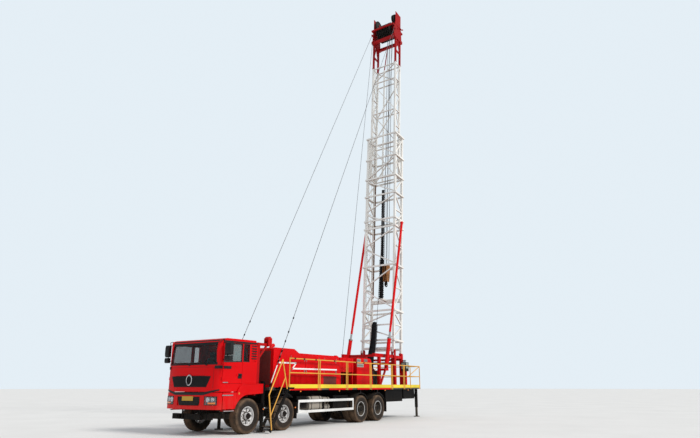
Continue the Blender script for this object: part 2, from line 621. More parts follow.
def make_cab_front():
    """Windscreen surround and wipers, grille with its boss, nose strip, lower intake and panel gaps."""
    band = Shape()
    for low, high in ((CAB_TOP - 0.135, CAB_TOP - 0.085), (CAB_TOP - 0.085, CAB_TOP - 0.05), (2.13, 2.168)):
        band.strip((-1.1, 1.1, 49), low, high, 0.004, 0.012)
    band.strip((-1.03, 1.03, 41), CAB_TOP - 0.215, CAB_TOP - 0.135, 0.001, 0.004)
    for side in (-1, 1):
        band.strip((side * 1.03, side * 1.105, 6), 2.14, CAB_TOP - 0.12, 0.003, 0.012)
        # Black corner piece at the screen's foot, on to the door's front edge
        band.strip((side * 1.04, side * 1.214, 17), 2.01, 2.1, 0.024, 0.03)
        band.box((FRONT_X - 0.58, side * CAB_HALF, 2.015), (FRONT_X - 0.27, side * (CAB_HALF + 0.024), 2.095))
    piece("windscreen_surround", band, "black plastic")
    wipers = Shape()
    for root, tip in ((0.72, 0.05), (-0.05, -0.75)):
        y, z = np.linspace(root, tip, 12), 2.185 + 0.02 * np.sin(np.linspace(0, np.pi, 12))
        wipers.tube(np.stack([cab_face(y, z) + 0.018, y, z], 1), 0.008, 8)
        y, z = np.array([root, (root + tip) / 2]), np.array([2.125, 2.195])
        arm = np.stack([cab_face(y, z) + 0.026, y, z], 1)
        wipers.tube(arm, 0.01, 8)
        wipers.lathe([(-0.02, 0.022), (0.016, 0.022), (0.022, 0.012)], arm[0], (1, 0, 0), 20)
    piece("wipers", wipers, "black plastic")
    # Grille: a six-sided black panel with fine bars, and a blank oval boss on it
    y = np.linspace(-0.9, 0.9, 61)
    foot = (1.45 + 0.3 * np.clip((np.abs(y) - 0.75) / 0.15, 0, 1))[:, None]
    grille = Shape().slab(*face_patch(y, foot + (1.785 - foot) * np.linspace(0, 1, 5), 0.006, 0.02))
    for z in 1.47 + np.arange(10) * 0.031:
        half = 0.74 + 0.14 * (z - 1.45) / 0.335
        grille.strip((-half, half, 25), z, z + 0.013, 0.02, 0.016)
    piece("grille_panel", grille, "grille black", bevel=0.003)
    t = circle(48)
    loops = [np.stack([FRONT_X + d + 0 * t, 0.85 * r * np.cos(t), 1.665 + 1.05 * r * np.sin(t)], 1)
             for r, d in ((0.125, 0.01), (0.125, 0.034), (0.145, 0.042), (0.165, 0.03), (0.165, 0.01))]
    boss = Shape().add(np.stack(loops, 1), grid_faces(48, 5, wrap_u=True, wrap_v=True))
    piece("grille_boss", boss, "bright steel")
    # Black strip under the grille that bends up towards the sides
    y = np.abs(np.linspace(-1.19, 1.19, 65))
    middle = 1.25 + 0.136 * np.clip((y - 0.65) / 0.62, 0, 1)
    half = 0.04 - 0.0175 * np.clip((y - 0.75) / 0.4, 0, 1)
    vee = Shape().strip((-1.19, 1.19, 65), middle - half, middle + half, 0.006, 0.03)
    piece("nose_strip", vee, "black plastic")
    # Lower intake with a bare plate in it
    foot = 0.9 + 0.26 * np.clip((np.abs(np.linspace(-0.55, 0.55, 25)) - 0.45) / 0.1, 0, 0.98)
    intake = Shape().strip((-0.55, 0.55, 25), foot, 1.16, -0.018, 0.02)
    for z in 0.925 + np.arange(4) * 0.058:
        half = 0.44 + 0.1 * (z - 0.9) / 0.26
        intake.strip((-half, half, 15), z, z + 0.016, 0.002, 0.03)
    piece("lower_intake", intake, "grille black", bevel=0.004)
    plate = Shape().box((FRONT_X - 0.012, -0.29, 1.036), (FRONT_X + 0.008, 0.22, 1.172))
    piece("bare_plate", plate, "plate yellow", bevel=0.006)
    # Panel gaps of the front: thin dark lines laid on the paint
    seams = Shape().strip((-1.19, 1.19, 61), 2.055, 2.062, 0.0012, 0.004)
    for side in (-1, 1):
        seams.strip((side * 1.0, side * 1.006, 3), 1.42, 2.055, 0.0012, 0.004)
    piece("front_panel_gaps", seams, "black plastic")


def make_headlamps():
    """Clear covers with bowls and an orange lower lamp behind them, set into the bumper."""
    covers, bowls, orange, frames, dark = (Shape() for _ in range(5))
    bulb = [(-0.09, 0.012), (-0.05, 0.024), (-0.035, 0.018), (-0.03, 0.002)]
    for side in (-1, 1):
        span = side * 0.73, side * 1.145, 21
        zs = np.tile(np.linspace(0.93, 1.16, 7), (21, 1))
        covers.slab(*face_patch(np.linspace(*span), zs, 0.004, 0.008))
        for y, z, r in ((0.83, 1.075, 0.072), (1.0, 1.08, 0.06)):
            centre = float(cab_face(y, z)), side * y, z
            bowl = [(-0.1, 0.02), (-0.07, r * 0.75), (-0.012, r), (-0.01, r * 0.97), (-0.065, r * 0.7),
                    (-0.09, 0.018)]
            bowls.lathe(bowl, centre, (1, 0, 0), 32, ring=True)
            bowls.lathe(bulb, centre, (1, 0, 0), 20)
        orange.strip((side * 0.86, side * 1.1, 11), 0.945, 0.995, 0.008, 0.02)
        for z0, z1 in ((0.912, 0.932), (1.158, 1.176)):
            frames.strip(span, z0, z1, 0.007, 0.02)
        for y0, y1 in ((0.712, 0.734), (1.135, 1.155)):
            frames.strip((side * y0, side * y1, 3), 0.915, 1.175, 0.007, 0.02)
        dark.strip(span, 0.932, 1.158, -0.085, 0.01)
    piece("headlamp_covers", covers, "lamp cover", stands_for=["headlamps"])
    piece("headlamp_housings", dark, "grille black")
    piece("headlamp_bowls", bowls, "lamp bowl")
    piece("headlamp_indicators", orange, "orange lens")
    piece("headlamp_frames", frames, "black plastic")


# Name, look, rounding and boxes of what stands on a door: x from its rear edge, y from its skin, and z
DOOR_PARTS = (
    ("door_handle", "black plastic", 0.006, [(0.015, 0.185, 0.001, 0.014, 1.715, 1.87),
                                             (0.025, 0.175, 0.012, 0.034, 1.82, 1.855)]),
    ("door_crease", "cab red", 0.002, [(0.03, 0.75, -0.002, 0.005, 2.075, 2.09)]),
    ("door_strip", "bright steel", 0.003, [(0.605, 0.825, 0.001, 0.01, 1.58, 1.608)]),
)


def make_cab_sides():
    """Handles, window bands, roof gutter, lamps, step edges and arch lips on both sides."""
    front, back, top, axle = DOOR_FRONT, DOOR_BACK, CAB_TOP - 0.165, AXLE_X[0]
    for side, sign in SIDES.items():
        outline = [(back + 0.05, 2.26), (front - 0.04, 2.23), (front - 0.075, top), (back + 0.05, top)]
        ring = window_frame(outline, 0.028, sign * (CAB_HALF - 0.02), sign * (CAB_HALF + 0.004))
        piece(f"door_window_band_{side}", ring, "black plastic", f"door_{side}")
        for name, look, bevel, boxes in DOOR_PARTS:
            part = Shape()
            for x0, x1, y0, y1, z0, z1 in boxes:
                part.box((back + x0, sign * (CAB_HALF + y0), z0), (back + x1, sign * (CAB_HALF + y1), z1))
            piece(f"{name}_{side}", part, look, f"door_{side}", bevel)
    outline = [(back - 0.29, 2.27), (back - 0.055, 2.27), (back - 0.055, top), (back - 0.29, top)]
    bands = window_frame(outline, 0.026, CAB_HALF - 0.02, CAB_HALF + 0.004)
    piece("rear_window_bands", bands.mirrored(), "black plastic")
    gutter = Shape().box((CAB_BACK + 0.08, CAB_HALF - 0.02, CAB_TOP - 0.125),
                         (front + 0.03, CAB_HALF + 0.02, CAB_TOP - 0.075))
    for z in 2.345 + np.arange(6) * 0.082:
        gutter.box((CAB_BACK + 0.045, CAB_HALF - 0.012, z), (CAB_BACK + 0.3, CAB_HALF + 0.01, z + 0.036))
    piece("roof_gutter", gutter.mirrored(), "black plastic", bevel=0.003)
    marker = [(0, 0.036), (0.01, 0.034), (0.016, 0.024), (0.018, 0.002)]
    lamps = Shape().lathe(marker, (axle + 0.46, LIP_Y, 1.255), steps=28)
    piece("cab_side_lamps", lamps.mirrored(), "orange lens")
    steps = Shape()
    for x0, x1, z in ((0.72, 1.18, 1.19), (0.66, 1.08, 0.72)):
        steps.box((axle + x0, LIP_Y - 0.02, z), (axle + x1, LIP_Y + 0.008, z + 0.032))
    piece("step_edges", steps.mirrored(), "bright steel", bevel=0.004)
    # The arch lip, the edge that runs back from it, and the bead from the edge down the arch's front
    angle = np.radians(np.linspace(21, 95, 23))
    radii = np.array([0.668, 0.7])[:, None]
    inner, outer = np.stack([axle + radii * np.cos(angle), HUB_Z + radii * np.sin(angle)], -1)
    arch = Shape().prism(np.concatenate([inner, outer[::-1]]), LIP_Y - 0.06, LIP_Y + 0.008)
    arch.prism(line_band((axle - 0.06, 1.23), (axle - 0.66, 1.262), 0.015), LIP_Y - 0.048, LIP_Y + 0.008)
    turn = np.radians(np.linspace(90, 0, 19))
    bend = zip(0.19 + 0.355 * np.cos(turn), 1.19 + 0.355 * np.sin(turn))
    bead = [(-0.67, 1.545), (0.0, 1.545), *bend, (0.545, 1.1)]
    arch.tube([(axle + x, LIP_Y - 0.004, z) for x, z in bead], 0.013, 10)
    piece("arch_lips", arch.mirrored(), "cab red", bevel=0.004)
    flaps = Shape()
    for x in (axle - 0.74, AXLE_X[1] - 0.7, AXLE_X[3] - 0.74):
        flaps.box((x - 0.012, 0.92, 0.36), (x, 1.235, 0.93))
    piece("mud_flaps", flaps.mirrored(), "black plastic", bevel=0.003)


def make_mirrors():
    """Mirror housings, their backs a bulge of (1 - u^4)^(1/2) (1 - v^4)^(1/2), panes and upper arms."""
    shells, panes = Shape(), Shape()
    x = DOOR_FRONT + 0.02
    v, u = np.meshgrid(np.linspace(-1, 1, 13), np.linspace(-1, 1, 13))
    bulge = 0.055 * (1 - u ** 4) ** 0.5 * (1 - v ** 4) ** 0.5
    for y, half, sign in ((CAB_HALF + 0.255, 0.15, 1), (CAB_HALF + 0.2, 0.105, -1)):
        for z, half_y, half_z in ((2.62, half, 0.195), (2.315, half - 0.01, 0.085)):
            yy, zz = sign * (y + half_y * u), z + half_z * v
            shells.slab(np.stack([x + 0.041 + bulge, yy, zz], -1), np.stack([x - 0.032 + 0 * u, yy, zz], -1))
            panes.box((x - 0.036, sign * (y - half_y + 0.015), z - half_z + 0.015),
                      (x - 0.033, sign * (y + half_y - 0.015), z + half_z - 0.015))
    arm = (x, CAB_HALF, CAB_TOP) + np.array([[-0.1, -0.05, -0.06], [0.02, 0.02, -0.04], [0.1, 0.01, -0.07],
                                             [0.12, -0.04, -0.16]])
    for sign in (1, -1):
        shells.tube(arm * (1, sign, 1), 0.012, 10)
    piece("mirror_shells", shells, "black plastic", bevel=0.008)
    piece("mirror_panes", panes, "bright steel")


def cushion(low, high, groove=0.0):
    """A stuffed block: the ball |x|^5 + |y|^5 + |z|^5 = 1 in a box, with three sewn channels across."""
    low, high = np.asarray(low, float), np.asarray(high, float)
    grid = np.stack(np.meshgrid(*[np.linspace(-1, 1, 25)] * 2, indexing="ij"), -1)
    parts = Shape()
    for axis_out in range(3):
        for sign in (-1, 1):
            cube = np.insert(grid, axis_out, sign, axis=-1)
            ball = cube / (np.abs(cube) ** 5).sum(-1, keepdims=True) ** 0.2
            seam = 1 - groove * np.exp(-(((ball[..., 1] + 1) * 1.5 % 1 - 0.5) / 0.1) ** 2)
            lower = np.where(np.arange(3) == 2, seam[..., None], 1.0)
            parts.add((low + high) / 2 + ball * (high - low) / 2 * lower, grid_faces(25, 25))
    return parts


def stuffed(name, shape):
    """A cushion's piece, its patches merged where they meet to one closed skin."""
    made = piece(name, shape, "seat cover")
    face_outwards(made.data, weld=True)
    return made


def make_interior():
    """Seats with head rests, the dashboard with its panel, the steering wheel and a bunk behind."""
    x = AXLE_X[0]
    for side, sign in SIDES.items():
        y0, y1 = sorted((sign * 0.345, sign * 0.855))
        base = cushion((x + 0.08, y0, 1.7), (x + 0.62, y1, 1.82), 0.1)
        stuffed(f"seat_cushion_{side}", base)
        rest = cushion((-0.065, y0 + 0.02, 0), (0.065, y1 - 0.02, 0.6))
        rest.moved(lambda p: np.stack([x + 0.1 - 0.22 * p[:, 2] + p[:, 0], p[:, 1], 1.84 + p[:, 2]], 1))
        stuffed(f"seat_back_{side}", rest)
        head = cushion((x - 0.08, sign * 0.6 - 0.13, 2.45), (x + 0.02, sign * 0.6 + 0.13, 2.63))
        stuffed(f"head_rest_{side}", head)
    outline = ((0.42, 1.37), (0.34, 2.08), (0.42, 2.13), (0.52, 2.14), (0.62, 2.02), (0.64, 1.98),
               (0.6, 1.74), (0.56, 1.37))
    dash = Shape().prism([(FRONT_X - d, z) for d, z in outline], -1.0, 1.0)
    dash.box((FRONT_X - 0.66, 0.4, 2.0), (FRONT_X - 0.56, 0.82, 2.1))
    for sign in (-1, 1):
        dash.box((x + 0.15, sign * 0.35, 1.37), (x + 0.55, sign * 0.85, 1.71))
    dash.box((CAB_BACK + 0.06, -1.05, 1.37), (CAB_BACK + 0.165, 1.05, 1.8))
    for y in (-0.6, 0.6):
        dash.post(x - 0.03, y, 2.35, 2.5, 0.035, 10)
    piece("dashboard", dash, "dash plastic", bevel=0.012, stands_for=["cab_interior"])
    centre = np.array((FRONT_X - 0.79, 0.6, 2.01))
    axis = np.array((-0.08, 0, 0.05)) / math.hypot(0.08, 0.05)
    t = circle(10)
    rim = np.stack([0.016 * np.sin(t), 0.205 + 0.016 * np.cos(t)], 1)
    wheel = Shape().lathe(rim, centre, axis, ring=True)
    wheel.lathe([(-0.03, 0.05), (0.01, 0.055), (0.02, 0.03)], centre, axis, 24)
    for angle in (np.pi / 2, np.pi * 7 / 6, np.pi * 11 / 6):
        arm = math.cos(angle) * np.array((0.0, 1.0, 0.0)) + math.sin(angle) * np.cross(axis, (0, 1, 0))
        wheel.tube([centre, centre + 0.2 * arm], 0.012, 8)
    wheel.tube([centre, centre - 0.25 * axis], 0.028)
    piece("steering_wheel", wheel, "black plastic")


# DECK

def make_rails():
    """Clamps and feet of the hand rails, toe boards, deck edges, guard uprights and ladder treads."""
    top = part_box("hand_rails")[1][2] - 0.021
    clamps = Shape()
    for s in (2.42, 2.97, 3.7, 4.96, 6.6, 7.2, 8.6):
        clamps.tube([(behind(s) - 0.03, RAIL_Y, top), (behind(s) + 0.03, RAIL_Y, top)], 0.034)
    for s in (2.14, 3.89, 3.99, 5.84, 5.94, 7.74, 7.84, 9.69, 9.79, 10.92, 11.02, 11.64, 12.69):
        clamps.post(behind(s), RAIL_Y, DECK_Z - 0.09, DECK_Z - 0.045, 0.027)
    piece("rail_clamps", clamps.mirrored(), "black plastic")
    boards = Shape().plates(RAIL_Y - 0.01, RAIL_Y + 0.01, (2.17, 12.66, DECK_Z - 0.035, DECK_Z + 0.1))
    piece("toe_board_faces", boards.mirrored(), "toe yellow", bevel=0.002)
    edge = Shape().plates(RAIL_Y - 0.01, RAIL_Y + 0.006, *(
        (s0, s1, DECK_Z - 0.105, DECK_Z - 0.037) for s0, s1 in ((2.17, 4.1), (4.62, 6.3), (6.7, 9.6))))
    piece("deck_edge_strips", edge.mirrored(), "housing red")
    feet = Shape().plates(RAIL_Y + 0.009, RAIL_Y + 0.014, *(
        (s0 - 0.045, s1 + 0.045, DECK_Z - 0.105, DECK_Z + 0.105)
        for s0, s1 in ((2.14, 2.14), (3.89, 3.99), (5.84, 5.94), (7.74, 7.84), (9.69, 9.79), (10.92, 11.02),
                       (11.64, 11.64), (12.62, 12.62))))
    piece("rail_feet", feet.mirrored(), "rail yellow", bevel=0.002)
    guards = Shape().plates(1.19, 1.222, *((s - 0.03, s + 0.03, 0.58, 0.95) for s in (2.77, 6.41)))
    piece("guard_uprights", guards.mirrored(), "guard white", bevel=0.006)
    treads = Shape()
    for t in (np.arange(6) + 0.6) / 6:
        s, z = 0.66 + 0.895 * t, 0.05 + 1.39 * t
        treads.plates(1.337, 1.698, (s - 0.095, s + 0.095, z + 0.01, z + 0.026))
        treads.plates(1.342, 1.693, *((s + 0.077 - j * 0.028, s + 0.085 - j * 0.028, z + 0.022, z + 0.032)
                                      for j in range(7)))
    piece("ladder_treads", treads.mirrored(), "tread dark")


def make_housing():
    """Stripe, ribs, doors with latches, mesh, louvres and exhaust of the power housing."""
    x, y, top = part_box("power_housing")[1]
    # A line that steps down and runs on to the rear, kept by the real width of its paint
    stripe = Shape()
    path = [np.array((behind(s), z)) for s, z in ((1.74, 2.29), (2.7, 2.3), (2.49, 2.1), (5.35, 2.12))]
    for a, b in zip(path[:-1], path[1:]):
        more = 0.015 * (b - a) / np.linalg.norm(b - a)
        stripe.prism(line_band(a - more, b + more, 0.026), y + 0.0045, y + 0.0065)
    piece("housing_stripe", stripe.mirrored(), "stripe white")
    doors = Shape().plates(y - 0.002, y + 0.004, (2.375, 3.25, 1.9, 2.6), (3.27, 4.14, 1.9, 2.6),
                           (4.16, 5.34, 1.86, 2.58), (4.16, 4.44, 1.46, 1.85))
    piece("housing_door_skins", doors.mirrored(), "housing red", bevel=0.002)
    shade = Shape().plates(y - 0.002, y + 0.003, (2.38, 4.14, 1.465, 1.89))
    piece("rib_shade", shade.mirrored(), "crown red")
    ribs = Shape().plates(y - 0.004, y + 0.032, *((s, s + 0.038, 1.47, 1.885)
                                                  for s in 2.385 + np.arange(24) * 0.0735))
    piece("housing_ribs", ribs.mirrored(), "housing red", bevel=0.006)
    mesh = Shape().plates(y - 0.001, y + 0.001, (4.449, 5.327, 1.46, 1.85))
    mesh.plates(y, y + 0.005, *((s, s + 0.008, 1.465, 1.845) for s in 4.456 + np.arange(23) * 0.038))
    mesh.plates(y + 0.001, y + 0.007, *((4.454, 5.322, z, z + 0.008) for z in 1.468 + np.arange(11) * 0.037))
    piece("housing_mesh", mesh.mirrored(), "louvre red")
    gaps = Shape().plates(y, y + 0.0016, *((s, s + 0.006, DECK_Z + 0.05, 2.6)
                                           for s in (1.72, 2.365, 4.15, 5.345)))
    piece("housing_door_gaps", gaps.mirrored(), "black plastic")
    latches = Shape()
    for s in (3.2, 3.32, 4.22, 5.28):
        latches.plates(y + 0.004, y + 0.016, *((s - 0.02, s + 0.02, z, z + 0.09) for z in (1.98, 2.38)))
    for s in (2.39, 4.12, 4.47, 5.32):
        for z in (1.95, 2.45):
            latches.post(behind(s), y + 0.008, z, z + 0.11, 0.01, 10)
    piece("housing_latches", latches.mirrored(), "dull steel", bevel=0.003)
    front = Shape()
    for z in 1.555 + np.arange(26) * 0.0445:
        slat = [(x - 0.02, z), (x + 0.004, z - 0.022), (x + 0.004, z - 0.018), (x - 0.02, z + 0.004)]
        front.prism(slat, -0.93, 0.93)
    piece("front_louvres", front, "louvre red")
    backing = Shape().box((x - 0.001, -0.96, 1.52), (x + 0.0015, 0.96, 2.7))
    piece("front_louvre_field", backing, "louvre red")
    roof = Shape().plates(-0.45, 0.45, (2.1, 2.5, top - 0.002, top + 0.03))
    exhaust = (3.15, 2.66), (3.15, 2.9), (3.22, 3.02), (3.34, 3.06)
    roof.tube([(behind(s), -0.6, z) for s, z in exhaust], 0.075, 20)
    piece("housing_roof_parts", roof, "housing red", bevel=0.008)


def make_cabinets():
    """Gauge panels, doors and gaps of the control cabinet, fittings of the oil tank, pumps and levers."""
    y = CABINET_Y
    panels = Shape().plates(y, y + 0.012, (7.165, 7.47, 2.489, 2.64), (7.165, 7.71, 2.288, 2.44))
    piece("gauge_panels", panels.mirrored(), "gauge panel", bevel=0.004)
    blank = Shape().plates(y, y + 0.006, (7.75, 8.04, 2.53, 2.65))
    for stations, r, inner, z in (((7.22, 7.32, 7.42, 7.52, 7.62), 0.04, 0.03, 2.364),
                                  ((7.24, 7.38), 0.052, 0.04, 2.565)):
        for s in stations:
            gauge = [(0, r), (0.01, r), (0.012, inner), (0.013, 0.001)]
            blank.lathe(gauge, (behind(s), y + 0.01, z), steps=24)
    piece("gauges_and_blank_plate", blank.mirrored(), "dull steel")
    dark = Shape().plates(y, y + 0.012, *((8.26, 8.34, z, z + 0.03) for z in (1.62, 1.86, 2.1)))
    dark.plates(y, y + 0.0016, (7.594, 7.6, 1.5, 2.42), (8.414, 8.42, 1.5, 2.42),
                (7.6, 8.42, 2.42, 2.426))
    piece("cabinet_gaps", dark.mirrored(), "black plastic")
    tank = Shape().plates(y, y + 0.012, *((s - 0.02, s + 0.02, 2.07, 2.64) for s in (6.02, 6.37, 6.72)))
    cap = [(0, 0.07), (0.05, 0.07), (0.06, 0.085), (0.1, 0.085), (0.11, 0.03)]
    for across in (0.45, -0.45):
        tank.lathe(cap, (behind(6.2), across, 2.645), (0, 0, 1), 28)
    piece("oil_tank_parts", tank, "housing red", bevel=0.004)
    under = Shape()
    for s in (6.0, 6.28, 6.6):
        for across in (0.7, -0.7):
            under.post(behind(s), across, DECK_Z, 2.062, 0.045, 14)
    pump = [(0, 0.13), (0.3, 0.13), (0.34, 0.1), (0.42, 0.1), (0.44, 0.04)]
    for across in (-0.5, 0.0, 0.5):
        under.lathe(pump, (behind(6.35), across, DECK_Z), (0, 0, 1), 28)
    piece("oil_pumps", under, "black steel")
    console = Shape()
    knob = [(-0.014, 0.004), (-0.008, 0.014), (0.006, 0.016), (0.014, 0.004)]
    for x in behind(11.24) - 0.06 - 0.05 * np.arange(5):
        for across in (1.005, 1.095):
            console.post(x, across, 2.62, 2.72, 0.007, 8)
            console.lathe(knob, (x, across, 2.73), (0, 0, 1), 12)
    console.plates(0.955, 1.215, (11.235, 11.565, 2.195, 2.625))
    piece("console_levers", console, "black plastic")
    face = Shape().plates(1.214, 1.22, (11.28, 11.52, 2.33, 2.6))
    face.plates(0.99, 1.18, (11.23, 11.236, 2.3, 2.6))
    piece("console_faces", face, "gauge panel", bevel=0.003)


def make_drawworks():
    """Rope wound in layers on the drum, the brake bands with their bolts, and the frame in front of it."""
    low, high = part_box("drawworks")
    x = (low[0] + high[0]) / 2
    rope_shape = Shape()
    turns = np.linspace(-0.515, 0.515, 43)
    section = circle(8)
    for layer, radius in enumerate((0.222, 0.244)):
        ring = np.stack([0.0125 * np.sin(section), radius + 0.0125 * np.cos(section)], 1)
        for y in turns[layer:len(turns) - layer * 6]:
            rope_shape.lathe(ring, (x, y + 0.012 * layer, DRUM_Z), steps=40, ring=True)
    piece("drum_rope", rope_shape, "wire rope")
    bands = Shape()
    for sign in (-1, 1):
        bands.lathe([(-0.034, 0.362), (0.034, 0.362), (0.034, 0.374), (-0.034, 0.374)],
                    (x, sign * 0.54, DRUM_Z), steps=64, ring=True)
        bands.studs([(0, 0.016), (0.014, 0.016), (0.018, 0.01)], 12, 0.3, (x, sign * 0.56, DRUM_Z), sign)
        bands.box((x - 0.62, sign * 0.66, DECK_Z), (x - 0.44, sign * 0.5, 2.2))
    bands.box((x - 0.6, -0.6, 2.12), (x - 0.48, 0.6, 2.2))
    piece("drum_brakes", bands, "frame red", bevel=0.004)


def make_underside():
    """Straps, caps and rings of the tanks, marker lamps, rear lamps, and hoses along the frame."""
    straps = Shape()
    bend = [(1.03 + 0.094 * math.cos(a), (0.71 if a < 0 else 1.02) + 0.094 * math.sin(a))
            for a in np.radians(np.linspace(-90, 90, 13))]
    for s in (3.66, 4.18):
        straps.tube([(behind(s), y, z) for y, z in ((0.62, 0.616), *bend, (0.62, 1.114))], 0.012, 8)
    straps.lathe([(0, 0.055), (0.03, 0.055), (0.035, 0.065), (0.065, 0.065), (0.07, 0.02)],
                 (behind(3.85), 0.98, 1.108), (0, 0, 1), 24)
    for s in (4.52, 4.88):
        for z in (0.7, 0.96):
            straps.lathe([(-0.02, 0.108), (-0.02, 0.115), (0.02, 0.115), (0.02, 0.108)], (behind(s), 0.9, z),
                         (1, 0, 0), 32, ring=True)
    piece("tank_straps", straps.mirrored(), "black steel")
    lamps = Shape().plates(DECK_Y, DECK_Y + 0.012, *((s - 0.035, s + 0.035, DECK_Z - 0.165, DECK_Z - 0.125)
                                                     for s in (2.83, 5.36, 9.1, 11.4)))
    lamps.plates(1.235, 1.244, *((s - 0.04, s + 0.01, 0.72, 0.76) for s in (0.85, 2.55)))
    piece("marker_lamps", lamps.mirrored(), "orange lens", bevel=0.004)
    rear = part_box("deck")[0][0]
    tails = Shape().box((rear - 0.004, -0.9, DECK_Z - 0.092), (rear + 0.02, -1.16, DECK_Z - 0.02))
    piece("tail_lamps", tails.mirrored(), "red lens", bevel=0.004)
    pipes = Shape()
    s = np.linspace(0.3, 12.0, 60)
    for y, z, wobble in ((0.46, 1.0, 0.004), (0.48, 0.955, 0.006), (0.47, 0.91, 0.005)):
        path = [AXLE_X[0] - s, y + wobble * np.sin(s * 5 + z * 9), z + wobble * np.sin(s * 3.7)]
        pipes.tube(np.stack(path, 1), 0.014, 8)
    t = np.linspace(0, 1, 16)
    for s in (8.7, 9.4, 10.1, 10.8):
        sag = DECK_Z - 0.12 - 0.35 * np.sin(np.pi * t)
        pipes.tube(np.stack([behind(s) - 0.5 * t, 0.85 + 0 * t, sag], 1), 0.022, 10)
    piece("frame_pipes", pipes.mirrored(), "hose")


# MAST

def to_mast(shape):
    """Moves a shape that was made in the mast's own frame to where the mast stands."""
    return shape.moved(lambda p: HINGE + p[:, :1] * MAST_FORE + p[:, 1:2] * (0, 1, 0) + p[:, 2:] * MAST_UP)


def make_block():
    """Travelling block: cheek plates, sheaves between them, pins, and a hook on its stem."""
    low, high = mast_span("travelling_block")
    x, y, _ = (low + high) / 2
    top = high[2]
    foot = top - 1.0
    mid = (foot + top) / 2
    outline = [(x + 0.195 * math.cos(a), top - 0.2 + 0.195 * math.sin(a)) for a in np.linspace(0, np.pi, 17)]
    outline += [(x - 0.195, mid), (x - 0.12, foot), (x + 0.12, foot), (x + 0.195, mid)]
    cheeks = Shape()
    for y0 in (y - 0.118, y - 0.012, y + 0.094):
        cheeks.prism(outline, y0, y0 + 0.024)
    for dz in (0.2, 0.62):
        cheeks.lathe([(-0.135, 0.045), (0.135, 0.045)], (x, y, top - dz), steps=24)
    for dx in (-0.15, 0.15):
        cheeks.tube([(x + dx, y - 0.118, mid), (x + dx, y + 0.118, mid)], 0.022)
    piece("block_cheeks", to_mast(cheeks), "block orange", "mast_lower", bevel=0.004,
          stands_for=["travelling_block"])
    wheels = Shape()
    groove = [(-0.035, 0.05), (-0.035, 0.178), (-0.02, 0.178), (0.0, 0.15), (0.02, 0.178), (0.035, 0.178),
              (0.035, 0.05)]
    for dy in (-0.055, 0.055):
        wheels.lathe(groove, (x, y + dy, top - 0.2), ring=True)
    t = np.linspace(math.radians(100), math.radians(-215), 40)
    hook = np.stack([x + 0.11 * np.cos(t), y + 0 * t, low[2] + 0.16 + 0.11 * np.sin(t)], 1)
    stem = np.array([[x, y, foot + 0.02], [x, y, low[2] + 0.36], [x - 0.005, y, low[2] + 0.29]])
    thickness = np.interp(np.arange(43), [0, 3, 20, 42], [0.05, 0.045, 0.042, 0.014])
    wheels.tube(np.concatenate([stem, hook]), thickness, 16)
    wheels.lathe([(0, 0.07), (0.1, 0.075), (0.16, 0.05)], (x, y, foot - 0.16), (0, 0, 1), 24)
    piece("block_sheaves_and_hook", to_mast(wheels), "black steel", "mast_lower")


def ribbed(shape, path, radius, pitch, depth, sides=20):
    """Adds a corrugated hose: its radius, one or one for each place, rises and falls once every pitch."""
    path = np.asarray(path, float)
    steps = np.concatenate([[0], np.cumsum(np.linalg.norm(np.diff(path, axis=0), axis=1))])
    at = np.linspace(0, steps[-1], int(steps[-1] / pitch) * 4 + 1)
    dense = np.stack([np.interp(at, steps, path[:, i]) for i in range(3)], 1)
    thick = np.interp(at, steps, np.broadcast_to(radius, (len(path),)))
    return shape.tube(dense, thick - depth * (0.5 - 0.5 * np.cos(at / pitch * 2 * np.pi)) ** 2, sides)


def smooth_path(points, count):
    """Points on a Catmull-Rom curve through a few places."""
    p = np.asarray(points, float)
    p = np.concatenate([[2 * p[0] - p[1]], p, [2 * p[-1] - p[-2]]])
    at = np.linspace(0, len(p) - 3, count)
    i = np.minimum(at.astype(int), len(p) - 4)
    t = (at - i)[:, None]
    a, b, c, d = p[i], p[i + 1], p[i + 2], p[i + 3]
    bend, twist = 2 * a - 5 * b + 4 * c - d, 3 * b - a - 3 * c + d
    return 0.5 * (2 * b + (c - a) * t + bend * t ** 2 + twist * t ** 3)


def make_mast_hoses():
    """The sleeve of the cable chain up the mast, and the thick hose from the deck to the mast's foot."""
    low, high = mast_span("cable_chain")
    x, step = (low[0] + high[0]) / 2, low[2] + 2.1
    chain = ribbed(Shape(), [(x + 0.02, -0.045, low[2]), (x + 0.02, -0.045, step)], 0.135, 0.105, 0.045)
    ribbed(chain, [(x + 0.015, -0.03, step), (x + 0.015, -0.03, high[2])], 0.092, 0.105, 0.03)
    piece("cable_chain_sleeve", to_mast(chain), "hose", "mast_lower", stands_for=["cable_chain"])
    places = [(behind(9.96), -0.1, DECK_Z + 0.005), (behind(10.04), -0.1, 2.74),
              (behind(10.32), -0.1, 3.56), on_mast(0.2, -0.1, 1.48)]
    thick = np.interp(np.arange(61), [0, 20, 40, 56, 59, 60], [0.158, 0.165, 0.165, 0.16, 0.125, 0.06])
    bundle = ribbed(Shape(), smooth_path(places, 61), thick, 0.07, 0.028, 24)
    piece("hose_sleeve", bundle, "hose", stands_for=["hose_bundle"])


def make_rigging():
    """Clamps and turnbuckles on the front stays."""
    fittings, white = Shape(), Shape()
    points = points_of("stays")
    top = points[(points[:, 2] > points[:, 2].max() - 0.05) & (points[:, 1] > 0)].mean(0)
    foot = np.array((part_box("stays")[1][0] - 0.012, 1.15, DECK_Z + 0.016))
    along = (top - foot) / np.linalg.norm(top - foot)
    for d in (0.95, 1.12, 1.35, 1.75, 2.15, 2.75):
        fittings.tube([foot + along * d, foot + along * (d + 0.07)], 0.024, 10)
    fittings.tube([foot, foot + along * 0.12], 0.03)
    white.tube([foot + along * 0.16, foot + along * 0.82], 0.02)
    piece("stay_clamps", fittings.mirrored(), "black steel")
    piece("stay_turnbuckles", white.mirrored(), "guard white")


